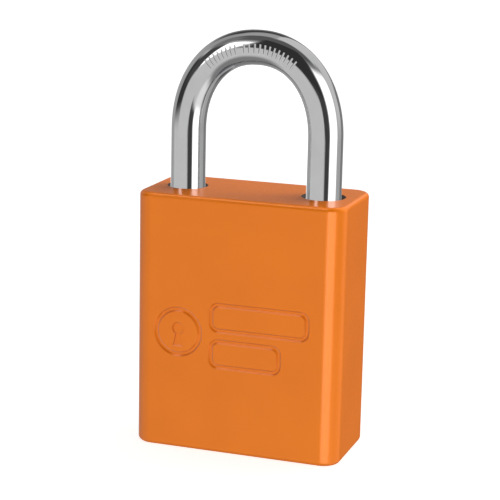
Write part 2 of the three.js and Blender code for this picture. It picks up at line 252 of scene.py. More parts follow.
def carved(mesh, cutters):
    """The mesh with the cutters' solids taken away."""
    whole = add_object("whole", mesh)
    knives = [add_object("knife", cutter) for cutter in cutters]
    for knife in knives:
        modifier = whole.modifiers.new("cut", "BOOLEAN")
        modifier.operation = "DIFFERENCE"
        modifier.solver = "EXACT"
        modifier.object = knife
    graph = bpy.context.evaluated_depsgraph_get()
    result = bpy.data.meshes.new_from_object(whole.evaluated_get(graph))
    for done in [whole, *knives]:
        bpy.data.objects.remove(done)
    work = bmesh.new()
    work.from_mesh(result)
    bmesh.ops.remove_doubles(work, verts=work.verts, dist=MERGE)
    bmesh.ops.dissolve_degenerate(work, dist=MERGE, edges=work.edges)
    work.to_mesh(result)
    work.free()
    return result


def smooth(mesh):
    """The mesh shaded smooth, but for its real edges."""
    sharp_above = math.radians(32)
    mesh.shade_smooth()
    mesh.set_sharp_from_angle(angle=sharp_above)
    return mesh


def stand_in(name, mesh, node):
    """Adds a finished mesh in place of a CAD node, in that node's material."""
    made = add_object(name, mesh)
    mesh.materials.clear()
    mesh.materials.append(finishes[slot_of[node]])
    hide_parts(node)
    return made


def piece(name, mesh, node):
    """Adds a finished rigid mesh that rides on the same body as the CAD node it replaces."""
    made = stand_in(name, mesh, node)
    weighted = made.modifiers.new("flat faces stay flat", "WEIGHTED_NORMAL")
    weighted.keep_sharp = True
    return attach(made, body_of[node])


# ---- Materials -----------------------------------------------------------------------------


def math_node(tree, operation, *values):
    """A Math node of a Finish or the Sky, fed with numbers or with other nodes' outputs."""
    node = tree.nodes.new("ShaderNodeMath")
    node.operation = operation
    for socket, value in zip(node.inputs, values):
        if isinstance(value, (int, float)):
            socket.default_value = value
        else:
            tree.links.new(value, socket)
    return node.outputs["Value"]


class Finish:
    """A Principled material, with helpers for the node patterns on it."""

    def __init__(self, name, **sockets):
        self.material = bpy.data.materials.new(name)
        self.material.use_nodes = True
        self.nodes = self.material.node_tree.nodes
        self.links = self.material.node_tree.links
        self.shader = self.nodes["Principled BSDF"]
        for socket, value in sockets.items():
            self.shader.inputs[socket.replace("_", " ")].default_value = value
        self.place = self.nodes.new("ShaderNodeTexCoord").outputs["Object"]

    def link(self, source, target):
        self.links.new(source, target)

    def noise(self, scale, detail=3.0, stretch=(1, 1, 1)):
        mapping = self.nodes.new("ShaderNodeMapping")
        mapping.inputs["Scale"].default_value = stretch
        self.link(self.place, mapping.inputs["Vector"])
        texture = self.nodes.new("ShaderNodeTexNoise")
        texture.inputs["Scale"].default_value = scale
        texture.inputs["Detail"].default_value = detail
        self.link(mapping.outputs["Vector"], texture.inputs["Vector"])
        return texture.outputs["Fac"]

    def rings(self, scale):
        """Turning marks: fine rings about the Z axis."""
        texture = self.nodes.new("ShaderNodeTexWave")
        texture.wave_type = "RINGS"
        texture.rings_direction = "Z"
        texture.inputs["Scale"].default_value = scale
        texture.inputs["Distortion"].default_value = 0.6
        texture.inputs["Detail"].default_value = 2.0
        self.link(self.place, texture.inputs["Vector"])
        return texture.outputs["Fac"]

    def spread(self, source, low, high):
        """Carries a pattern's middle range over to low ... high."""
        node = self.nodes.new("ShaderNodeMapRange")
        node.inputs["From Min"].default_value = 0.3
        node.inputs["From Max"].default_value = 0.7
        node.inputs["To Min"].default_value = low
        node.inputs["To Max"].default_value = high
        self.link(source, node.inputs["Value"])
        return node.outputs["Result"]

    def colours(self, source, dark, light):
        """Colours the surface between two colours by a pattern."""
        ramp = self.nodes.new("ShaderNodeValToRGB")
        ramp.color_ramp.elements[0].position = 0.35
        ramp.color_ramp.elements[0].color = (*dark, 1)
        ramp.color_ramp.elements[1].position = 0.65
        ramp.color_ramp.elements[1].color = (*light, 1)
        self.link(source, ramp.inputs["Fac"])
        self.link(ramp.outputs["Color"], self.shader.inputs["Base Color"])

    def roughness(self, source, low, high):
        self.link(self.spread(source, low, high), self.shader.inputs["Roughness"])

    def bump(self, source, height):
        node = self.nodes.new("ShaderNodeBump")
        node.inputs["Distance"].default_value = height
        self.link(source, node.inputs["Height"])
        self.link(node.outputs["Normal"], self.shader.inputs["Normal"])


def anodised_finish():
    """Dyed, finely blasted aluminium under a clear oxide layer."""
    finish = Finish("anodised_orange", Metallic=0.3, Coat_Weight=0.5, Coat_Roughness=0.16)
    finish.shader.inputs["Specular Tint"].default_value = (1, 0.6, 0.35, 1)
    finish.colours(finish.noise(90, 4), (0.80, 0.182, 0.001), (0.84, 0.194, 0.001))
    finish.roughness(finish.noise(2500, 4), 0.34, 0.44)
    finish.bump(finish.noise(5200, 2), 0.004 * MM)
    return finish.material


def bore_finish():
    """The holes in the case, painted dark: painted shade inside them and on their bevelled mouths, with
    grease and metal dust.
    """
    finish = Finish("bore_painted_shade_and_grease", Metallic=0.5)
    finish.colours(finish.noise(600, 4), (0.035, 0.022, 0.015), (0.10, 0.055, 0.03))
    finish.roughness(finish.noise(900, 4), 0.35, 0.55)
    finish.bump(finish.noise(1800, 2), 0.004 * MM)
    return finish.material


def chrome_finish():
    """Polished chrome plate with faint waviness and polishing haze."""
    finish = Finish("polished_chrome", Metallic=1.0)
    finish.colours(finish.noise(220, 3), (0.585, 0.585, 0.59), (0.615, 0.615, 0.62))
    finish.roughness(finish.noise(700, 5), 0.03, 0.10)
    finish.bump(finish.noise(260, 2), 0.006 * MM)
    return finish.material


def steel_finish():
    """Hardened steel as it leaves the tumbler, with a film of oil."""
    finish = Finish("hardened_steel", Metallic=1.0)
    finish.colours(finish.noise(400, 4), (0.36, 0.37, 0.39), (0.50, 0.51, 0.53))
    finish.roughness(finish.noise(900, 4, stretch=(1, 1, 6)), 0.22, 0.38)
    finish.bump(finish.noise(1500, 3, stretch=(1, 1, 8)), 0.003 * MM)
    return finish.material


def spring_finish():
    """Drawn spring wire, darker than the machined pieces."""
    finish = Finish("spring_steel", Metallic=1.0)
    finish.colours(finish.noise(900, 3), (0.24, 0.25, 0.27), (0.38, 0.39, 0.41))
    finish.roughness(finish.noise(1200, 4), 0.25, 0.42)
    finish.bump(finish.noise(3000, 2), 0.002 * MM)
    return finish.material


def brass_finish():
    """Turned brass."""
    finish = Finish("turned_brass", Metallic=1.0)
    finish.colours(finish.noise(500, 3), (0.62, 0.42, 0.14), (0.74, 0.53, 0.21))
    finish.roughness(finish.noise(1500, 4), 0.22, 0.36)
    finish.bump(finish.noise(2600, 3, stretch=(4, 1, 1)), 0.002 * MM)
    return finish.material


def nickel_finish():
    """Nickel plate over turned brass, with rings left by the lathe."""
    finish = Finish("nickel_plate", Metallic=1.0)
    finish.colours(finish.noise(300, 3), (0.50, 0.47, 0.41), (0.62, 0.59, 0.52))
    finish.roughness(finish.noise(1300, 4), 0.20, 0.34)
    finish.bump(finish.rings(2400), 0.002 * MM)
    return finish.material


# painted shade for the legs' holes, with grease and metal dust
bore_shade_and_grease = bore_finish()
finishes = {
    "anodised_case": anodised_finish(),
    "shackle_chrome": chrome_finish(),
    "hardened_steel": steel_finish(),
    "spring_steel": spring_finish(),
    "pin_brass": brass_finish(),
    "cylinder_nickel": nickel_finish(),
}

# ---- The case ------------------------------------------------------------------------------


def case_solid():
    """A block with rounded upright corners, and its top and bottom edges rolled over."""
    steps = 8
    half_x = case_high.x
    half_y = case_high.y

    def level(by, z):
        return upright(rounded_rectangle(-half_x + by, half_x - by, half_y - by, CORNER - by), z)

    rings = []
    for step in range(steps + 1):
        angle = step / steps * math.pi / 2
        rings.append(level(EDGE * (1 - math.sin(angle)), case_low.z + EDGE * (1 - math.cos(angle))))
    for step in range(steps + 1):
        angle = step / steps * math.pi / 2
        rings.append(level(EDGE * (1 - math.cos(angle)), case_high.z - EDGE * (1 - math.sin(angle))))
    return loft("case_solid", rings)


def bore(x, floor, chamfer):
    """A blind hole for a leg, with a bevelled mouth in the top of the case."""
    past = 0.3 * MM
    profile = [
        (SHACKLE_BORE, floor),
        (SHACKLE_BORE, case_high.z - chamfer),
        (SHACKLE_BORE + chamfer + past, case_high.z + past),
    ]
    return turned("bore", profile, matrix=at(x))


def cylinder_outline(grown=0.0):
    """The shell's outline: a round barrel and the narrower bible that reaches towards the toe."""
    steps = 48
    radius = shell_radius + grown
    half = BIBLE_WIDTH / 2 + grown
    start = math.asin(half / radius)
    outline = []
    for i in range(steps + 1):
        angle = start + (2 * math.pi - 2 * start) * i / steps
        outline.append((radius * math.cos(angle), radius * math.sin(angle)))
    bible = rounded_rectangle(0, shell_reach + grown, half, BIBLE_CORNER + grown, steps=8)
    right = [point for point in bible if point[0] > radius]
    upper = [point for point in right if point[1] >= 0]
    lower = [point for point in right if point[1] < 0]
    return outline + lower + upper


def works_cutters():
    """The holes that take the cylinder, the actuator, the balls and the retaining screw."""
    mouth = 0.3 * MM
    screw_gap = 0.25 * MM
    pocket = cylinder_outline(SEAT_GAP)
    wider = cylinder_outline(SEAT_GAP + mouth + PAST)
    pocket_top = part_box("actuator")[0].z - FACE_GAP
    return [
        loft("pocket", [upright(pocket, -PAST), upright(pocket, shell_high.z + FACE_GAP)]),
        loft("mouth", [upright(wider, -PAST), upright(pocket, mouth)]),
        bar(shell_radius + SEAT_GAP, PAST, pocket_top, sides=96),
        bar(ACTUATOR_BORE, pocket_top - PAST, ACTUATOR_BORE_TOP),
        cross_bar(BALL + RUNNING_GAP, -leg_x, leg_x, ball_z),
        bar(SCREW_RADIUS + screw_gap, shell_high.z, TOE_FLOOR + PAST, x=leg_x, sides=24),
    ]


# The marking sunk into the front: a plain keyhole sign in a ring, and two blank plates.
MARK_DEPTH = 0.34 * MM
MARK_STROKE = 0.36 * MM
MARK_SLOPE = 0.28 * MM  # how far a groove's wall leans outwards on its way up
MARK_PAST = 0.4 * MM  # how far a cutter stands out of the face
SIGN_X = -10.6 * MM
SIGN_Z = 21.6 * MM
SIGN_RADIUS = 4.1 * MM
KEYHOLE_SIZE = 2.4 * MM
PLATE_LEFT = -4.4 * MM
PLATE_HEIGHT = 4.6 * MM
PLATE_CORNER = 1.3 * MM


def on_front(x, z, depth):
    return Vector((x, case_low.y + depth, z))


def outline_groove(path):
    """A cutter for a groove along a closed path of (x, z, outward direction) points."""
    flare = MARK_SLOPE * MARK_PAST / MARK_DEPTH
    half = MARK_STROKE / 2
    section = (
        (-half - MARK_SLOPE - flare, -MARK_PAST),
        (-half, MARK_DEPTH),
        (half, MARK_DEPTH),
        (half + MARK_SLOPE + flare, -MARK_PAST),
    )
    rings = []
    for x, z, (out_x, out_z) in path:
        rings.append([on_front(x + out_x * aside, z + out_z * aside, depth) for aside, depth in section])
    return loft("groove", rings, closed=True)


def plate_path(low_x, high_x, low_z, high_z, corner):
    """A rectangle with round corners on the front face."""
    middle_z = (low_z + high_z) / 2
    half = (high_z - low_z) / 2
    path = []
    for x, z in rounded_rectangle(low_x, high_x, half, corner, steps=10):
        corner_x = min(max(x, low_x + corner), high_x - corner)
        corner_z = min(max(z, corner - half), half - corner)
        out = Vector((x - corner_x, z - corner_z)).normalized()
        path.append((x, middle_z + z, out))
    return path


def ring_path(x, z, radius):
    sides = 48
    path = []
    for i in range(sides):
        angle = 2 * math.pi * i / sides
        out = Vector((math.cos(angle), math.sin(angle)))
        path.append((x + radius * out.x, z + radius * out.y, out))
    return path


def keyhole_cutter(x, z, size):
    """A round eye over a flared slot, sunk like the grooves."""
    eye = 0.42 * size
    eye_z = 0.35 * size
    slot_half = 0.36 * size
    slot_foot = -0.9 * size
    outline = []
    start = math.radians(-65)
    steps = 24
    for i in range(steps + 1):
        angle = start + (math.pi - 2 * start) * i / steps
        outline.append((eye * math.cos(angle), eye * math.sin(angle) + eye_z))
    outline += [(-slot_half, slot_foot), (slot_half, slot_foot)]

    def scaled(scale, depth):
        return [on_front(x + px * scale, z + pz * scale, depth) for px, pz in outline]

    lean = MARK_SLOPE / size
    flared = 1 + lean * (1 + MARK_PAST / MARK_DEPTH)
    return loft("keyhole", [scaled(1, MARK_DEPTH), scaled(flared, -MARK_PAST)])


def mark_cutters():
    cutters = [
        outline_groove(ring_path(SIGN_X, SIGN_Z, SIGN_RADIUS)),
        keyhole_cutter(SIGN_X, SIGN_Z - 0.3 * MM, KEYHOLE_SIZE),
    ]
    for right, bottom in ((13.2 * MM, 22.6 * MM), (8.2 * MM, 16.0 * MM)):
        path = plate_path(PLATE_LEFT, right, bottom, bottom + PLATE_HEIGHT, PLATE_CORNER)
        cutters.append(outline_groove(path))
    return cutters


def in_bore(point):
    """Whether a point is on the wall of a leg's hole or on its bevelled mouth."""
    mouth = TOE_MOUTH if point.x > 0 else HEEL_MOUTH
    aside = math.hypot(abs(point.x) - leg_x, point.y)
    lowest = HEEL_FLOOR - 0.05 * MM
    highest = case_high.z - 0.02 * MM
    return aside < SHACKLE_BORE + mouth and lowest < point.z < highest


def add_case():
    cutters = [
        bore(-leg_x, HEEL_FLOOR, HEEL_MOUTH),
        bore(leg_x, TOE_FLOOR, TOE_MOUTH),
        *works_cutters(),
        *mark_cutters(),
    ]
    mesh = smooth(carved(case_solid(), cutters))
    case = piece("anodised_case", mesh, "case")
    # the walls and bevelled mouths of the legs' holes take the painted shade, with grease
    mesh.materials.append(bore_shade_and_grease)
    for face in mesh.polygons:
        if in_bore(face.center):
            face.material_index = 1
    case.visible_glossy = False  # the chrome doesn't mirror it
    return case


# ---- The shackle ---------------------------------------------------------------------------

spring_line = crown_z - CROWN_RISE
heel_end = shackle_low.z
toe_end = ball_z - TOE_BELOW_BALL


def crown_point(angle):
    """The crown's centre line, from 0 over the heel to a half turn over the toe."""
    power = 2 / CROWN_FULLNESS
    across = -math.copysign(abs(math.cos(angle)) ** power, math.cos(angle))
    up = abs(math.sin(angle)) ** power
    return Vector((leg_x * across, 0, spring_line + CROWN_RISE * up))


def rod_ring(point, along, radius):
    """A circle of the rod round a point of its centre line, square to its direction."""
    sides = 72
    side = along.cross(FRONT)
    ring = []
    for i in range(sides):
        angle = 2 * math.pi * i / sides
        ring.append(point + radius * (math.cos(angle) * side + math.sin(angle) * FRONT))
    return ring


def shackle_solid():
    crown_steps = 140
    rings = []
    for z, radius in ((heel_end, rod - END_CHAMFER), (heel_end + END_CHAMFER, rod)):
        rings.append(rod_ring(Vector((-leg_x, 0, z)), UP, radius))
    for step in range(crown_steps + 1):
        angle = math.pi * step / crown_steps
        nudge = 0.5 * math.pi / crown_steps
        before = crown_point(max(angle - nudge, 0))
        after = crown_point(min(angle + nudge, math.pi))
        along = (after - before).normalized()
        if step == 0:
            along = UP
        if step == crown_steps:
            along = -UP
        rings.append(rod_ring(crown_point(angle), along, rod))
    for z, radius in ((toe_end + END_CHAMFER, rod), (toe_end, rod - END_CHAMFER)):
        rings.append(rod_ring(Vector((leg_x, 0, z)), -UP, radius))
    return loft("shackle_solid", rings)


def ball_mesh(radius, x):
    mesh = bpy.data.meshes.new("ball")
    work = bmesh.new()
    bmesh.ops.create_uvsphere(work, u_segments=48, v_segments=24, radius=radius)
    work.to_mesh(mesh)
    work.free()
    mesh.transform(at(x, 0, ball_z))
    return mesh


def groove_mesh(seat):
    """The groove turned into the heel, in which the shackle can swivel once it is up."""
    middle = Vector((-leg_x, 0, ball_z - travel("shackle_lift")))
    reach = leg_x - toe_thrown_x
    sides = 24
    steps = 64
    rings = []
    for i in range(steps):
        angle = 2 * math.pi * i / steps
        out = Vector((math.cos(angle), math.sin(angle), 0))
        ring = []
        for j in range(sides):
            turn = 2 * math.pi * j / sides
            aside = out * (reach + seat * math.cos(turn))
            ring.append(middle + aside + UP * (seat * math.sin(turn)))
        rings.append(ring)
    return loft("groove", rings, closed=True)


# Plain ticks stamped along the front of the crown.
TICK_LENGTH = 1.9 * MM
TICK_WIDTH = 0.42 * MM
TICK_DEPTH = 0.17 * MM


def tick_cutter(angle):
    """A short groove across the rod's front, wider at its mouth than at its floor."""
    nudge = 0.01
    along = (crown_point(angle + nudge) - crown_point(angle - nudge)).normalized()
    side = along.cross(FRONT)
    corners = ((-1, -1), (1, -1), (1, 1), (-1, 1))
    levels = ((rod - TICK_DEPTH, 0.3 * TICK_WIDTH), (rod + TICK_DEPTH, 0.7 * TICK_WIDTH))
    rings = []
    for out, half_width in levels:
        middle = crown_point(angle) + FRONT * out
        rings.append([middle + along * half_width * a + side * TICK_LENGTH / 2 * b for a, b in corners])
    return loft("tick", rings)


def tick_angles():
    """Two runs of ticks, either side of the crown's top."""
    pitch = math.radians(3.6)
    runs = ((math.radians(52.3), 8), (math.radians(84.3), 12))
    return [start + i * pitch for start, count in runs for i in range(count)]


def add_shackle():
    seat = BALL + RUNNING_GAP
    channel = bar(seat, ball_z - travel("shackle_lift"), ball_z, x=-heel_released_x)
    cutters = [
        ball_mesh(seat, -toe_thrown_x),
        ball_mesh(seat, toe_thrown_x),
        channel,
        groove_mesh(seat),
        *[tick_cutter(angle) for angle in tick_angles()],
    ]
    mesh = smooth(carved(shackle_solid(), cutters))
    piece("chrome_shackle", mesh, "shackle")


# ---- The works: actuator, balls and cylinder -----------------------------------------------


def add_balls():
    for side in ("heel", "toe"):
        node = f"{side}_locking_ball"
        piece(f"{side}_ball_bearing", smooth(ball_mesh(BALL, centre(node).x)), node)


def cam_radius(angle, released_x):
    """The actuator's radius at an angle from its ball's released direction, so that it clears the
    ball all the way from its released to its thrown place."""
    reach = BALL + CAM_GAP
    samples = 60
    radius = ACTUATOR_BORE
    for i in range(samples + 1):
        share = i / samples
        ball_x = released_x + (toe_thrown_x - released_x) * share
        aside = angle - share * math.pi / 2
        half = ball_x * math.sin(aside)
        if math.cos(aside) > 0 and abs(half) < reach:
            radius = min(radius, ball_x * math.cos(aside) - math.sqrt(reach**2 - half**2))
    return radius


def cam_cutter():
    """What is cut away round the cam, at the height of the balls."""
    half = BALL + RUNNING_GAP + 0.1 * MM
    outer = ACTUATOR_BORE + PAST
    steps = 120
    rings = []
    for i in range(steps):
        angle = 2 * math.pi * i / steps - math.pi / 2
        toe_side = angle < math.pi / 2
        from_ball = angle if toe_side else angle - math.pi
        released_x = centre("toe_locking_ball").x if toe_side else heel_released_x
        inner = cam_radius(from_ball, released_x)
        out = Vector((math.cos(angle), math.sin(angle), 0))
        section = ((inner, -half), (outer, -half), (outer, half), (inner, half))
        rings.append([out * radius + Vector((0, 0, ball_z + z)) for radius, z in section])
    return loft("cam", rings, closed=True)


def add_actuator():
    low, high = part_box("actuator")
    round_over = 0.4 * MM
    steps = 6
    profile = []
    for i in range(steps + 1):
        angle = i / steps * math.pi / 2
        inwards = round_over * (1 - math.sin(angle))
        upwards = round_over * (1 - math.cos(angle))
        profile.append((high.x - inwards, low.z + upwards))
    profile += [(radius, low.z + high.z - z) for radius, z in reversed(profile)]
    slot_x = TANG_WIDTH / 2 + 0.2 * MM
    slot_y = TANG_LENGTH / 2 + 0.3 * MM
    slot = block((-slot_x, -slot_y, low.z - PAST), (slot_x, slot_y, plug_high.z + FACE_GAP))
    mesh = carved(turned("actuator", profile, sides=96), [cam_cutter(), slot])
    piece("actuator_cam", smooth(mesh), "actuator")


def chambers(radius, from_x, to_x):
    """A cutter for each pin's hole, along X."""
    levels = [centre(f"driver_pin_{i}").z for i in range(1, PIN_COUNT + 1)]
    return [cross_bar(radius, from_x, to_x, z) for z in levels]


def add_shell():
    strip_low, strip_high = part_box("spring_cover_strip")
    gap = 0.15 * MM
    bottom = shell_low.z - PAST
    top = shell_high.z + PAST
    slot_low = (strip_low.x - gap, strip_low.y - gap, strip_low.z - gap)
    slot_high = (strip_high.x + PAST, strip_high.y + gap, strip_high.z + gap)
    screw_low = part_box("cylinder_retaining_screw")[0].z - FACE_GAP
    cutters = [
        bar(PLUG_RADIUS + RUNNING_GAP, bottom, top, sides=96),
        bar(plug_head + RUNNING_GAP, bottom, PLUG_HEAD_TOP + FACE_GAP, sides=96),
        *chambers(CHAMBER, 0, shell_reach + PAST),
        block(slot_low, slot_high),
        bar(SCREW_RADIUS + gap, screw_low, top, x=leg_x, sides=24),
    ]
    shell = bevelled("shell", cylinder_outline(), shell_low.z, shell_high.z, bevel=0.2 * MM)
    piece("nickel_shell", smooth(carved(shell, cutters)), "cylinder_shell")


def add_cover_strip():
    low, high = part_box("spring_cover_strip")
    half = (high.z - low.z) / 2
    outline = rounded_rectangle(-half, half, high.y, corner=0.5 * MM, steps=6)
    place = at(low.x, 0, low.z + half) @ TO_X
    strip = bevelled("strip", outline, 0, high.x - low.x, bevel=0.1 * MM, matrix=place)
    piece("brass_cover_strip", smooth(strip), "spring_cover_strip")


# The warded keyway's corners in millimetres, across the plug with its pins towards +X,
# anticlockwise from above.
KEYWAY = [
    (-4.4, -1.05), (-2.0, -1.05), (-1.6, -0.35), (0.4, -0.35), (0.8, -1.0), (2.9, -1.0),
    (2.9, 0.45), (1.0, 0.45), (0.6, 0.95), (-1.4, 0.95), (-1.8, 0.35), (-4.4, 0.35),
]


def add_plug():
    """The plug, turned and then cut across: keyway, chambers, and the tang that turns the actuator."""
    face = plug_low.z
    top = plug_high.z
    flange = PLUG_RADIUS - 0.1 * MM
    flange_edge = 0.15 * MM
    tang = TANG_LENGTH / 2
    tang_edge = 0.2 * MM
    profile = [
        (plug_head - 0.4 * MM, face),
        (plug_head - 0.12 * MM, face + 0.1 * MM),
        (plug_head, face + 0.35 * MM),
        (plug_head, PLUG_HEAD_TOP),
        (PLUG_RADIUS, PLUG_HEAD_TOP),
        (PLUG_RADIUS, CLIP_GROOVE_BOTTOM),
        (CLIP_GROOVE, CLIP_GROOVE_BOTTOM),
        (CLIP_GROOVE, CLIP_GROOVE_TOP),
        (flange, CLIP_GROOVE_TOP),
        (flange, FLANGE_TOP - flange_edge),
        (flange - flange_edge, FLANGE_TOP),
        (tang, FLANGE_TOP),
        (tang, top - tang_edge),
        (tang - tang_edge, top),
    ]
    mouth = 0.25 * MM
    keyway = [(x * MM, y * MM) for x, y in KEYWAY]
    wider = inset(keyway, -mouth)
    cutters = [
        loft("keyway", [upright(keyway, -PAST), upright(keyway, KEYWAY_TOP)]),
        loft("keyway_mouth", [upright(wider, face - 0.01 * MM), upright(keyway, face + mouth)]),
        *chambers(CHAMBER, CHAMBER_FLOOR, plug_head + PAST),
    ]
    for low_y, high_y in ((-plug_head, -TANG_WIDTH / 2), (TANG_WIDTH / 2, plug_head)):
        cutters.append(block((-plug_head, low_y, FLANGE_TOP), (plug_head, high_y, top + PAST)))
    mesh = carved(turned("plug", profile, sides=96), cutters)
    mesh.transform(Matrix.Rotation(math.pi / 2, 4, "Z"))  # as it stands when released
    piece("nickel_plug", smooth(mesh), "plug")


def add_clip():
    low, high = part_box("plug_retaining_clip")
    outer = high.x
    inner = CLIP_GROOVE + RUNNING_GAP
    mouth = math.radians(60)
    steps = 48
    turns = [math.pi / 2 + mouth / 2 + (2 * math.pi - mouth) * i / steps for i in range(steps + 1)]
    outline = [(outer * math.cos(turn), outer * math.sin(turn)) for turn in turns]
    outline += [(inner * math.cos(turn), inner * math.sin(turn)) for turn in reversed(turns)]
    mesh = bevelled("clip", outline, low.z, high.z, bevel=0.08 * MM)
    piece("spring_clip", smooth(mesh), "plug_retaining_clip")


def thread_rings(root, bottom, turns, sides):
    """Rings up the screw's thread, which fades in over its first turn and out over its last."""
    per_turn = 10
    rings = []
    for i in range(turns * per_turn + 1):
        wound = i / per_turn
        fade = min(1, wound, turns - wound)
        z = bottom + i * THREAD_PITCH / per_turn
        ring = []
        for j in range(sides):
            turn = j / sides
            ridge = 1 - abs(2 * ((wound - turn) % 1) - 1)
            radius = root + (SCREW_RADIUS - root) * fade * min(1, 1.3 * ridge)
            angle = 2 * math.pi * turn
            ring.append(Vector((radius * math.cos(angle), radius * math.sin(angle), z)))
        rings.append(ring)
    return rings


def add_screw():
    """The retaining screw: a threaded tip, a plain shank and a round head with a hexagon socket."""
    low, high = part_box("cylinder_retaining_screw")
    root = SCREW_RADIUS - 0.25 * MM
    thread_bottom = low.z + 0.3 * MM
    thread_turns = math.floor((shell_high.z - 0.4 * MM - thread_bottom) / THREAD_PITCH)
    head = high.y
    head_bottom = TOE_FLOOR + FACE_GAP
    socket_corner = 1.155 * MM  # from its middle
    socket_depth = 1.3 * MM
    sides = 40
    tip = [(root - 0.3 * MM, low.z), (root, low.z + 0.25 * MM)]
    top = [
        (root, head_bottom),
        (head - 0.1 * MM, head_bottom),
        (head, head_bottom + 0.1 * MM),
        (head, high.z - 0.3 * MM),
        (head - 0.1 * MM, high.z - 0.08 * MM),
        (head - 0.3 * MM, high.z),
    ]
    rings = [circle(radius, z, sides) for radius, z in tip]
    rings += thread_rings(root, thread_bottom, thread_turns, sides)
    rings += [circle(radius, z, sides) for radius, z in top]
    socket = bar(socket_corner, high.z - socket_depth, high.z + PAST, sides=6)
    mesh = carved(loft("screw", rings), [socket])
    mesh.transform(at(leg_x))
    piece("socket_screw", smooth(mesh), "cylinder_retaining_screw")


# ---- The works: pins and springs -----------------------------------------------------------


def add_key_pin(i):
    """A key pin, pointed towards the key, with two grooves turned near its outer end."""
    low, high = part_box(f"key_pin_{i}")
    length = high.y - low.y
    radius = high.x
    groove_floor = radius - 0.15 * MM
    profile = [
        (0.3 * MM, 0),
        (0.45 * MM, 0.06 * MM),
        (radius - 0.08 * MM, 0.82 * MM),
        (radius, 0.95 * MM),
    ]
    for from_end in (1.7 * MM, 1.0 * MM):
        groove = length - from_end
        profile += [
            (radius, groove),
            (groove_floor, groove + 0.08 * MM),
            (groove_floor, groove + 0.22 * MM),
            (radius, groove + 0.3 * MM),
        ]
    profile += [
        (radius, length - 0.2 * MM),
        (radius - 0.06 * MM, length - 0.07 * MM),
        (radius - 0.25 * MM, length),
    ]
    place = at(0, low.y, centre(f"key_pin_{i}").z) @ TO_Y
    mesh = turned("key_pin", profile, sides=48, matrix=place)
    piece(f"turned_key_pin_{i}", smooth(mesh), f"key_pin_{i}")


def add_driver_pin(i):
    """A spool-shaped driver pin."""
    low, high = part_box(f"driver_pin_{i}")
    length = high.x - low.x
    radius = high.y
    waist = radius - 0.35 * MM
    profile = [
        (radius - 0.2 * MM, 0),
        (radius - 0.05 * MM, 0.06 * MM),
        (radius, 0.2 * MM),
        (radius, 0.7 * MM),
        (waist + 0.05 * MM, 0.95 * MM),
        (waist, 1.1 * MM),
    ]
    profile += [(across, length - along) for across, along in reversed(profile)]
    place = at(low.x, 0, centre(f"driver_pin_{i}").z) @ TO_X
    mesh = turned("driver_pin", profile, sides=48, matrix=place)
    piece(f"turned_driver_pin_{i}", smooth(mesh), f"driver_pin_{i}")


def coil_mesh(wire, radius, length, turns, matrix):
    """A compression spring along Z, with a closed turn at each end."""
    sides = 10
    per_turn = 28
    closed_pitch = 2.1 * wire
    open_pitch = (length - 2 * wire - 2 * closed_pitch) / (turns - 2)
    rings = []
    for i in range(turns * per_turn + 1):
        turn = i / per_turn
        open_turns = min(max(turn - 1, 0), turns - 2)
        z = wire + open_turns * open_pitch + (turn - open_turns) * closed_pitch
        pitch = open_pitch if 1 <= turn < turns - 1 else closed_pitch
        angle = 2 * math.pi * turn
        out = Vector((math.cos(angle), math.sin(angle), 0))
        along = Vector((-out.y, out.x, pitch / (2 * math.pi * radius))).normalized()
        up = out.cross(along)
        middle = out * radius + Vector((0, 0, z))
        ring = []
        for j in range(sides):
            round_wire = 2 * math.pi * j / sides
            ring.append(middle + wire * (math.cos(round_wire) * out + math.sin(round_wire) * up))
        rings.append(ring)
    mesh = loft("coil", rings)
    mesh.transform(matrix)
    mesh.shade_smooth()
    return mesh


def add_shackle_spring():
    """Stands on the floor of the heel's hole, under the shackle."""
    low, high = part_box("shackle_spring")
    wire = 0.35 * MM
    radius = (high.x - low.x) / 2 - wire
    turns = 9
    mesh = coil_mesh(wire, radius, high.z - low.z, turns, at(-leg_x, 0, low.z))
    spring = stand_in("shackle_coil_spring", mesh, "shackle_spring")
    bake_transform(spring)


def add_driver_spring(i):
    """Stands against the cover strip, behind its driver pin."""
    node = f"driver_spring_{i}"
    low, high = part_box(node)
    wire = 0.15 * MM
    radius = 1.05 * MM
    turns = 6
    z = centre(f"driver_pin_{i}").z
    mesh = coil_mesh(wire, radius, high.x - low.x, turns, at(low.x, 0, z) @ TO_X)
    spring = stand_in(f"driver_coil_spring_{i}", mesh, node)
    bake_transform(spring)


def add_works():
    add_balls()
    add_actuator()
    add_shell()
    add_cover_strip()
    add_screw()
    add_plug()
    add_clip()
    add_shackle_spring()
    for i in range(1, PIN_COUNT + 1):
        add_key_pin(i)
        add_driver_pin(i)
        add_driver_spring(i)


# ---- Stage: floor, light and camera --------------------------------------------------------


def add_floor():
    """A plain pale floor, which the object's metal doesn't mirror."""
    half = 3.0
    floor = add_object("floor", flat_mesh("floor", half, half))
    finish = Finish("floor_white", Roughness=0.9)
    finish.colours(finish.noise(3), (0.82, 0.82, 0.82), (0.86, 0.86, 0.86))
    finish.shader.inputs["Emission Color"].default_value = (1, 1, 1, 1)
    finish.shader.inputs["Emission Strength"].default_value = 0.8
    floor.data.materials.append(finish.material)
    floor.visible_glossy = False
    floor.visible_diffuse = False
    floor.visible_shadow = False


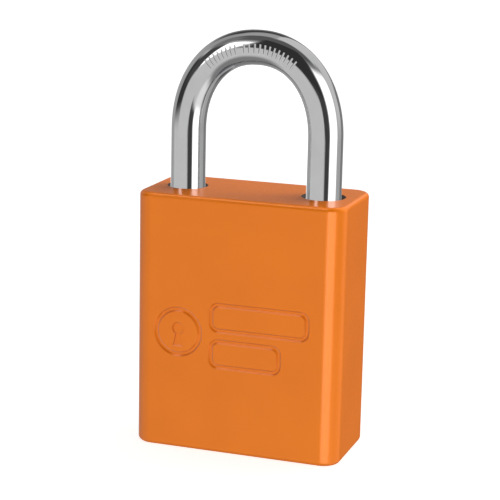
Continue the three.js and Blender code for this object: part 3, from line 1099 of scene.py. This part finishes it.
class Sky:
    """The studio round the object, as a function of direction: azimuth from the front towards
    the right, and elevation, both in degrees."""

    def __init__(self):
        world = bpy.data.worlds.new("studio")
        world.use_nodes = True
        bpy.context.scene.world = world
        self.nodes = world.node_tree.nodes
        self.links = world.node_tree.links
        self.nodes.clear()
        direction = self.nodes.new("ShaderNodeTexCoord").outputs["Generated"]
        split = self.nodes.new("ShaderNodeSeparateXYZ")
        self.links.new(direction, split.inputs["Vector"])
        ahead = math_node(self, "MULTIPLY", split.outputs["Y"], -1.0)
        turn = math_node(self, "ARCTAN2", split.outputs["X"], ahead)
        climb = math_node(self, "ARCSINE", split.outputs["Z"])
        self.azimuth = math_node(self, "DEGREES", turn)
        self.elevation = math_node(self, "DEGREES", climb)
        self.level = None

    def step(self, value, at_value, soft):
        node = self.nodes.new("ShaderNodeMapRange")
        node.interpolation_type = "SMOOTHSTEP"
        node.inputs["From Min"].default_value = at_value - soft
        node.inputs["From Max"].default_value = at_value + soft
        self.links.new(value, node.inputs["Value"])
        return node.outputs["Result"]

    def window(self, value, low, high, soft):
        past_low = self.step(value, low, soft)
        before_high = math_node(self, "SUBTRACT", 1.0, self.step(value, high, soft))
        return math_node(self, "MULTIPLY", past_low, before_high)

    def panel(self, brightness, azimuths, elevations, soft):
        """Paints one panel over what is there, with edges softened by some degrees."""
        across = self.window(self.azimuth, *azimuths, soft)
        upwards = self.window(self.elevation, *elevations, soft)
        inside = math_node(self, "MULTIPLY", across, upwards)
        under = self.level
        mixed = self.nodes.new("ShaderNodeMix")
        self.links.new(inside, mixed.inputs["Factor"])
        if isinstance(under, float):
            mixed.inputs["A"].default_value = under
        else:
            self.links.new(under, mixed.inputs["A"])
        mixed.inputs["B"].default_value = brightness
        self.level = mixed.outputs["Result"]

    def finish(self, backdrop_strength):
        """Lights the object by the panels, and shows the camera a plain backdrop."""
        light = self.nodes.new("ShaderNodeBackground")
        self.links.new(self.level, light.inputs["Strength"])
        backdrop = self.nodes.new("ShaderNodeBackground")
        backdrop.inputs["Strength"].default_value = backdrop_strength
        for node in (light, backdrop):
            node.inputs["Color"].default_value = (1, 1, 1, 1)
        seen = self.nodes.new("ShaderNodeLightPath").outputs["Is Camera Ray"]
        mixed = self.nodes.new("ShaderNodeMixShader")
        self.links.new(seen, mixed.inputs["Fac"])
        self.links.new(light.outputs["Background"], mixed.inputs[1])
        self.links.new(backdrop.outputs["Background"], mixed.inputs[2])
        output = self.nodes.new("ShaderNodeOutputWorld")
        self.links.new(mixed.outputs["Shader"], output.inputs["Surface"])


def add_sky():
    """Grey walls and black flags, each painted over the ones before it."""
    sky = Sky()
    sky.level = 0.80  # the light grey wall in front
    sky.panel(0.50, (-181, -90), (-90, 90), 8)  # left wall
    sky.panel(0.32, (54, 106), (-16, 46), 6)  # dim wall behind the right soft box
    sky.panel(0.30, (-181, 181), (-90, -50), 10)  # ground far below
    sky.panel(0.55, (108, 181), (-90, -3), 8)  # ground behind, on the right
    sky.panel(0.14, (-88, 88), (44, 90), 9)  # black ceiling
    sky.panel(0.45, (-125, -88), (32, 58), 6)  # its rim, on the left
    sky.panel(0.25, (-88, -52), (34, 60), 6)
    sky.panel(0.06, (-181, -125), (27, 56), 6)  # dark doorway behind, on the left
    sky.panel(1.15, (38, 82), (-48, -16), 8)  # light ground in front, on the right
    sky.panel(0.045, (-22, 47), (3, 62), 3)  # tall black flag in front
    sky.panel(0.07, (11, 47), (-9.5, 10), 3)  # its foot, reaching lower on the right
    sky.panel(0.07, (16, 45), (-20, 0), 3)  # and lower still
    sky.panel(0.05, (-92, -50), (-5, 27), 5)  # black flag on the left
    sky.panel(0.08, (-74, -42), (7, 37), 4)
    sky.panel(0.12, (140, 181), (-60, 12), 6)  # dim corner behind, on the right
    sky.panel(0.25, (-181, -142), (-10, 33), 6)  # and on the left
    sky.finish(backdrop_strength=1.0)


LIGHT_DISTANCE = 0.8


def towards(azimuth, elevation, distance=LIGHT_DISTANCE, target=Vector((0, 0, case_high.z))):
    """A place in the studio, turned to face the padlock."""
    azimuth = math.radians(azimuth)
    elevation = math.radians(elevation)
    back = Vector((
        math.sin(azimuth) * math.cos(elevation),
        -math.cos(azimuth) * math.cos(elevation),
        math.sin(elevation),
    ))
    right = UP.cross(back).normalized()
    turn = Matrix((right, back.cross(right), back)).transposed().to_4x4()
    return at(*(target + back * distance)) @ turn


def lights_only(light, lit, state):
    """Lets a light reach only the given piece, or everything but it."""
    group = bpy.data.collections.new(light.name + "_lit")
    group.objects.link(lit)
    group.collection_objects[0].light_linking.link_state = state
    light.light_linking.receiver_collection = group


def faded_glow(finish, strength, half_x, half_y, edge):
    """A brightness that fades out towards the four edges of a card."""
    split = finish.nodes.new("ShaderNodeSeparateXYZ")
    finish.link(finish.place, split.inputs["Vector"])
    fades = []
    for axis, half, brightest in (("X", half_x, strength), ("Y", half_y, 1.0)):
        fade = finish.nodes.new("ShaderNodeMapRange")
        fade.interpolation_type = "SMOOTHSTEP"
        fade.inputs["From Min"].default_value = half
        fade.inputs["From Max"].default_value = half - edge
        fade.inputs["To Max"].default_value = brightest
        finish.link(math_node(finish, "ABSOLUTE", split.outputs[axis]), fade.inputs["Value"])
        fades.append(fade.outputs["Result"])
    return math_node(finish, "MULTIPLY", *fades)


def card_finish(name, strength, half_x, half_y, edge):
    """A light that can be seen through."""
    finish = Finish(name)
    emission = finish.nodes.new("ShaderNodeEmission")
    clear = finish.nodes.new("ShaderNodeBsdfTransparent")
    whole = finish.nodes.new("ShaderNodeAddShader")
    glow = faded_glow(finish, strength, half_x, half_y, edge)
    finish.link(glow, emission.inputs["Strength"])
    finish.link(emission.outputs["Emission"], whole.inputs[0])
    finish.link(clear.outputs["BSDF"], whole.inputs[1])
    finish.link(whole.outputs["Shader"], finish.nodes["Material Output"].inputs["Surface"])
    return finish.material


def glowing_card(name, azimuths, elevations, strength, edge, spared):
    """A soft-edged soft box for the bright metal, between two azimuths and two elevations."""
    half_x = LIGHT_DISTANCE * math.tan(math.radians(azimuths[1] - azimuths[0]) / 2)
    half_y = LIGHT_DISTANCE * math.tan(math.radians(elevations[1] - elevations[0]) / 2)
    mesh = flat_mesh(name, half_x, half_y)
    mesh.materials.append(card_finish(name, strength, half_x, half_y, edge * LIGHT_DISTANCE))
    card = add_object(name, mesh)
    card.matrix_world = towards(sum(azimuths) / 2, sum(elevations) / 2)
    card.visible_camera = False
    card.visible_diffuse = False
    card.visible_shadow = False
    lights_only(card, spared, "EXCLUDE")


def lamp(name, azimuth, elevation, width, height, power, mirrored, lit):
    """A soft lamp for one piece, mirrored in its surface or not."""
    data = bpy.data.lights.new(name, "AREA")
    data.shape = "RECTANGLE"
    data.size = width
    data.size_y = height
    data.energy = power
    light = add_object(name, data)
    light.matrix_world = towards(azimuth, elevation)
    light.visible_camera = False
    light.visible_glossy = mirrored
    lights_only(light, lit, "INCLUDE")


def add_lights(case):
    """Soft boxes that only the metal pieces mirror, and lamps that light the case alone."""
    cards = (  # azimuths, elevations, strength, soft edge
        ("soft_box_right", (39, 106), (-28, 46), 2.0, 0.36),
        ("soft_box_left", (-45, -23), (8, 40), 2.1, 0.07),
        ("strip_behind_left", (-168, -142), (-29, -3), 1.7, 0.08),
        ("glow_behind_right", (142, 178), (-45, 10), 0.18, 0.12),
    )
    lamps = (  # azimuth, elevation, width, height, power, mirrored
        ("main_soft_box", 26, -5, 0.72, 0.6, 3.65, True),
        ("side_fill", 125, 5, 0.8, 0.8, 5.0, False),
        ("top_fill", 150, 60, 0.8, 0.6, 7.3, False),
        ("top_strip", -50, 68, 0.5, 0.3, 1.0, True),
    )
    for card in cards:
        glowing_card(*card, spared=case)
    for light in lamps:
        lamp(*light, lit=case)


def add_camera():
    """A long lens from the right of the front, a little above the middle, leaning slightly."""
    data = bpy.data.cameras.new("camera")
    data.sensor_width = 36
    data.lens = 122.3
    camera = add_object("camera", data)
    target = Vector((-0.70, 0, 35.37)) * MM
    lean = Matrix.Rotation(math.radians(1.22), 4, "Z")
    place = towards(azimuth=18.91, elevation=12.97, distance=303.1 * MM, target=target)
    camera.matrix_world = place @ lean
    bpy.context.scene.camera = camera


# ---- Assembly ------------------------------------------------------------------------------

bpy.context.scene.view_settings.view_transform = "Standard"
add_camera()
case = add_case()
add_shackle()
add_works()
add_floor()
add_sky()
add_lights(case)
